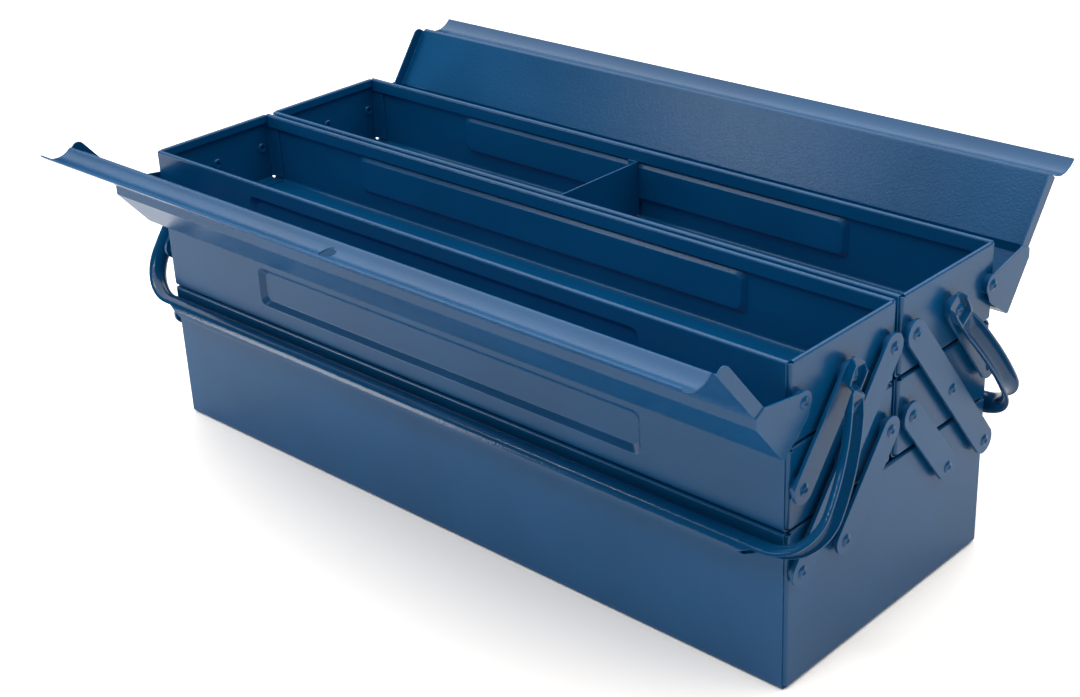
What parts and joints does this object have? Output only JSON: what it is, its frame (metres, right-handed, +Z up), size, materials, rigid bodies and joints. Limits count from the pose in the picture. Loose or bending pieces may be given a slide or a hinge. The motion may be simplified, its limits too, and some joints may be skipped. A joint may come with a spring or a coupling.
{
  "type": "cantilever tool box",
  "caption": "Folded sheet-steel tool box whose trays swing out on riveted links over both long sides, with hinged half lids and folding U handles",
  "frame": {"origin": "middle of the base tray's underside", "axes": "X along the box, Y from the front half to the rear half, Z up"},
  "size_m": [0.58, 0.3713, 0.2261],
  "materials": {
    "painted_sheet": "semi_gloss",
    "rivet": "semi_gloss",
    "spacer": "semi_gloss"
  },
  "bodies": {
    "base": {"base_trough": "painted_sheet", "base_end_left": "painted_sheet", "base_end_right": "painted_sheet", "base_rivets": "rivet", "base_spacers": "spacer"},
    "front_long_links": {"front_long_link_left": "painted_sheet", "front_long_link_right": "painted_sheet"},
    "front_lower_links": {"front_lower_link_left": "painted_sheet", "front_lower_link_right": "painted_sheet"},
    "front_upper_links": {"front_upper_link_left": "painted_sheet", "front_upper_link_right": "painted_sheet"},
    "front_mid_tray": {"front_mid_trough": "painted_sheet", "front_mid_end_left": "painted_sheet", "front_mid_end_right": "painted_sheet", "front_mid_rivets": "rivet", "front_mid_spacers": "spacer"},
    "front_top_tray": {"front_top_trough": "painted_sheet", "front_top_end_left": "painted_sheet", "front_top_end_right": "painted_sheet", "front_top_rivets": "rivet", "front_top_spacers": "spacer"},
    "front_lid": {"front_lid": "painted_sheet"},
    "front_handle": {"front_handle": "painted_sheet"},
    "rear_long_links": {"rear_long_link_left": "painted_sheet", "rear_long_link_right": "painted_sheet"},
    "rear_lower_links": {"rear_lower_link_left": "painted_sheet", "rear_lower_link_right": "painted_sheet"},
    "rear_upper_links": {"rear_upper_link_left": "painted_sheet", "rear_upper_link_right": "painted_sheet"},
    "rear_mid_tray": {"rear_mid_trough": "painted_sheet", "rear_mid_end_left": "painted_sheet", "rear_mid_end_right": "painted_sheet", "rear_mid_rivets": "rivet", "rear_mid_spacers": "spacer"},
    "rear_top_tray": {"rear_top_trough": "painted_sheet", "rear_top_end_left": "painted_sheet", "rear_top_end_right": "painted_sheet", "rear_top_rivets": "rivet", "rear_top_spacers": "spacer", "rear_divider": "painted_sheet"},
    "rear_lid": {"rear_lid": "painted_sheet"},
    "rear_handle": {"rear_handle": "painted_sheet"}
  },
  "joints": [
    {"name": "front_long_links_on_base", "type": "hinge", "parent": "base", "child": "front_long_links", "pos_m": [0, -0.092, 0.076], "axis": [1, 0, 0], "range_deg": [0, 77]},
    {"name": "front_lower_links_on_base", "type": "hinge", "parent": "base", "child": "front_lower_links", "pos_m": [0, -0.0515, 0.076], "axis": [1, 0, 0], "range_deg": [0, 77]},
    {"name": "front_mid_tray_on_long_links", "type": "hinge", "parent": "front_long_links", "child": "front_mid_tray", "pos_m": [0, -0.0515, 0.1265], "axis": [1, 0, 0], "range_deg": [-77, 0]},
    {"name": "front_top_tray_on_long_links", "type": "hinge", "parent": "front_long_links", "child": "front_top_tray", "pos_m": [0, -0.011, 0.177], "axis": [1, 0, 0], "range_deg": [-77, 0]},
    {"name": "front_upper_links_on_mid_tray", "type": "hinge", "parent": "front_mid_tray", "child": "front_upper_links", "pos_m": [0, -0.092, 0.1265], "axis": [1, 0, 0], "range_deg": [0, 77]},
    {"name": "front_lid_on_top_tray", "type": "hinge", "parent": "front_top_tray", "child": "front_lid", "pos_m": [0, -0.092, 0.177], "axis": [1, 0, 0], "range_deg": [-130, 0]},
    {"name": "front_handle_on_top_tray", "type": "hinge", "parent": "front_top_tray", "child": "front_handle", "pos_m": [0, -0.0515, 0.177], "axis": [1, 0, 0], "range_deg": [-65, 0]},
    {"name": "rear_long_links_on_base", "type": "hinge", "parent": "base", "child": "rear_long_links", "pos_m": [0, 0.092, 0.076], "axis": [-1, 0, 0], "range_deg": [0, 77]},
    {"name": "rear_lower_links_on_base", "type": "hinge", "parent": "base", "child": "rear_lower_links", "pos_m": [0, 0.0515, 0.076], "axis": [-1, 0, 0], "range_deg": [0, 77]},
    {"name": "rear_mid_tray_on_long_links", "type": "hinge", "parent": "rear_long_links", "child": "rear_mid_tray", "pos_m": [0, 0.0515, 0.1265], "axis": [-1, 0, 0], "range_deg": [-77, 0]},
    {"name": "rear_top_tray_on_long_links", "type": "hinge", "parent": "rear_long_links", "child": "rear_top_tray", "pos_m": [0, 0.011, 0.177], "axis": [-1, 0, 0], "range_deg": [-77, 0]},
    {"name": "rear_upper_links_on_mid_tray", "type": "hinge", "parent": "rear_mid_tray", "child": "rear_upper_links", "pos_m": [0, 0.092, 0.1265], "axis": [-1, 0, 0], "range_deg": [0, 77]},
    {"name": "rear_lid_on_top_tray", "type": "hinge", "parent": "rear_top_tray", "child": "rear_lid", "pos_m": [0, 0.092, 0.177], "axis": [-1, 0, 0], "range_deg": [-126, 0]},
    {"name": "rear_handle_on_top_tray", "type": "hinge", "parent": "rear_top_tray", "child": "rear_handle", "pos_m": [0, 0.0515, 0.177], "axis": [-1, 0, 0], "range_deg": [-65, 0]}
  ],
  "couplings": [
    {"joint": "front_lower_links_on_base", "follows": "front_long_links_on_base", "ratio": 1},
    {"joint": "front_mid_tray_on_long_links", "follows": "front_long_links_on_base", "ratio": -1},
    {"joint": "front_top_tray_on_long_links", "follows": "front_long_links_on_base", "ratio": -1},
    {"joint": "front_upper_links_on_mid_tray", "follows": "front_long_links_on_base", "ratio": 1},
    {"joint": "rear_lower_links_on_base", "follows": "rear_long_links_on_base", "ratio": 1},
    {"joint": "rear_mid_tray_on_long_links", "follows": "rear_long_links_on_base", "ratio": -1},
    {"joint": "rear_top_tray_on_long_links", "follows": "rear_long_links_on_base", "ratio": -1},
    {"joint": "rear_upper_links_on_mid_tray", "follows": "rear_long_links_on_base", "ratio": 1}
  ]
}
